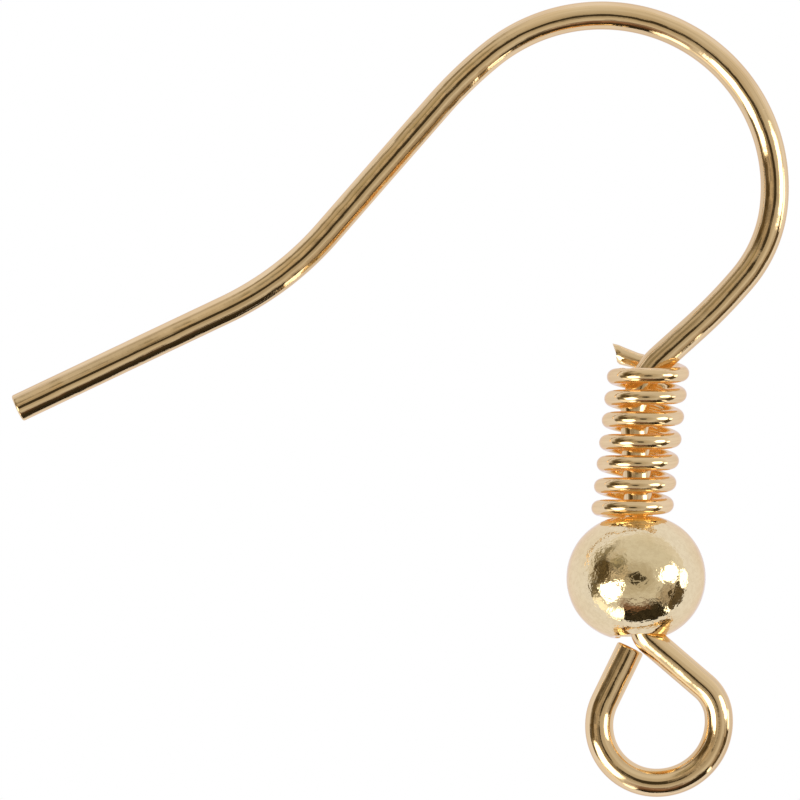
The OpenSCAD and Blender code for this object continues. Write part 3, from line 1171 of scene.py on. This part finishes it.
# %% Soft lights
LIGHTS = (
    ((-138, 5), (14, 12), 0.4, 1.3),
    ((210, 43), (20.5, 19), 0.16, 4.0),
    ((7, 34), (15, 15.5), 0.16, 4.0),
    ((-3, 6), (8, 6), 0.3, 3.0),
    ((-115, 12), (6.5, 12), 0.35, 3.0),
    ((-50, 9), (3.6, 10), 0.35, 3.0),
)
WARM_WHITE = (1.0, 0.98, 0.94)
for where, size, softness, power in LIGHTS:
    glow = tuple(power * part for part in WARM_WHITE) + (1,)
    room_colour = blend(sky, room_patch(where, size, softness), room_colour, glow)
print("soft lights:", len(LIGHTS))

# %% [markdown]
# The lens looks down from almost straight above. It is the small dark spot in the middle of the
# bead and the thin dark line along the top of the wire. Its edge trembles a little with the noise.
# A ray from the eye itself sees none of the room, only white.

# %% The lens
LENS_DIRECTION = (0.0, -0.02, 0.9998)
LENS_DARK_TO = 8.0
LENS_GONE_AT = 13.5
LENS_COLOUR = (0.055, 0.045, 0.028, 1)
LENS_TREMBLE = 0.25

to_lens = put(sky, "ShaderNodeVectorMath", operation="DOT_PRODUCT")
join(sky, looking, to_lens.inputs[0])
to_lens.inputs[1].default_value = LENS_DIRECTION
off_lens = calc(sky, "MINIMUM", to_lens.outputs["Value"], 1.0)
off_lens = calc(sky, "DEGREES", calc(sky, "ARCCOSINE", off_lens))
off_lens = calc(sky, "ADD", off_lens, calc(sky, "MULTIPLY", shake, LENS_TREMBLE))
lens = ramp(sky, off_lens, LENS_DARK_TO, LENS_GONE_AT, 1.0, 0.0)
room_colour = blend(sky, lens, room_colour, LENS_COLOUR)

eye_only = put(sky, "ShaderNodeLightPath").outputs["Is Camera Ray"]
room_colour = blend(sky, eye_only, room_colour, (1.0, 1.0, 1.0, 1))
glow_node = put(sky, "ShaderNodeBackground")
join(sky, room_colour, glow_node.inputs["Color"])
sky_out = put(sky, "ShaderNodeOutputWorld")
join(sky, glow_node.outputs[0], sky_out.inputs["Surface"])
print("room nodes:", len(sky.nodes))

# %% [markdown]
# The table is one large pale sheet that gives light, like a light table, so nothing casts a shadow
# on it. The eye sees it plain white. In the metal it is slightly cooler than white, which the gold
# turns to peach.

# %% The light table
TABLE_REACH = 0.4
TABLE_IN_METAL = (0.89, 0.93, 1.11, 1)

table_mesh = bpy.data.meshes.new("light_table")
corners = [(x * TABLE_REACH, y * TABLE_REACH, 0) for x, y in ((-1, -1), (1, -1), (1, 1), (-1, 1))]
table_mesh.from_pydata(corners, [], [(0, 1, 2, 3)])
table = add_object("light_table", table_mesh)
white = bpy.data.materials.new("pale_table")
white.use_nodes = True
tree = white.node_tree
tree.nodes.clear()
seen = put(tree, "ShaderNodeLightPath").outputs["Is Camera Ray"]
in_metal = put(tree, "ShaderNodeEmission")
in_metal.inputs["Color"].default_value = TABLE_IN_METAL
plain = put(tree, "ShaderNodeEmission")
either = put(tree, "ShaderNodeMixShader")
join(tree, seen, either.inputs[0])
join(tree, in_metal.outputs[0], either.inputs[1])
join(tree, plain.outputs[0], either.inputs[2])
join(tree, either.outputs[0], put(tree, "ShaderNodeOutputMaterial").inputs["Surface"])
table_mesh.materials.append(white)
print("table, metres across:", 2 * TABLE_REACH)

# %% [markdown]
# ## The camera
#
# It looks straight down from 160 mm, with a long lens, so the wire hardly changes width across the
# picture. The lens follows from how many millimetres the picture spans at the height of the wire,
# and the camera stands a few hundredths of a millimetre off the middle, where the picture's own
# middle is. Blender's plain Standard view keeps the white table white.

# %% Camera and view
CAMERA_PLACE = (0.018, -0.05, 160.0)
SUBJECT_HEIGHT = 0.8
PICTURE_PIXELS = 800
PIXELS_PER_MM = 44.0
SENSOR_MM = 36.0

picture_mm = PICTURE_PIXELS / PIXELS_PER_MM
camera_data = bpy.data.cameras.new("camera")
camera_data.sensor_width = SENSOR_MM
camera_data.lens = SENSOR_MM * (CAMERA_PLACE[2] - SUBJECT_HEIGHT) / picture_mm
camera_data.clip_start = 0.005
camera = add_object("camera", camera_data)
camera.location = [v * MM for v in CAMERA_PLACE]
bpy.context.scene.camera = camera
bpy.context.scene.view_settings.view_transform = "Standard"
print("lens mm:", round(camera_data.lens, 1))
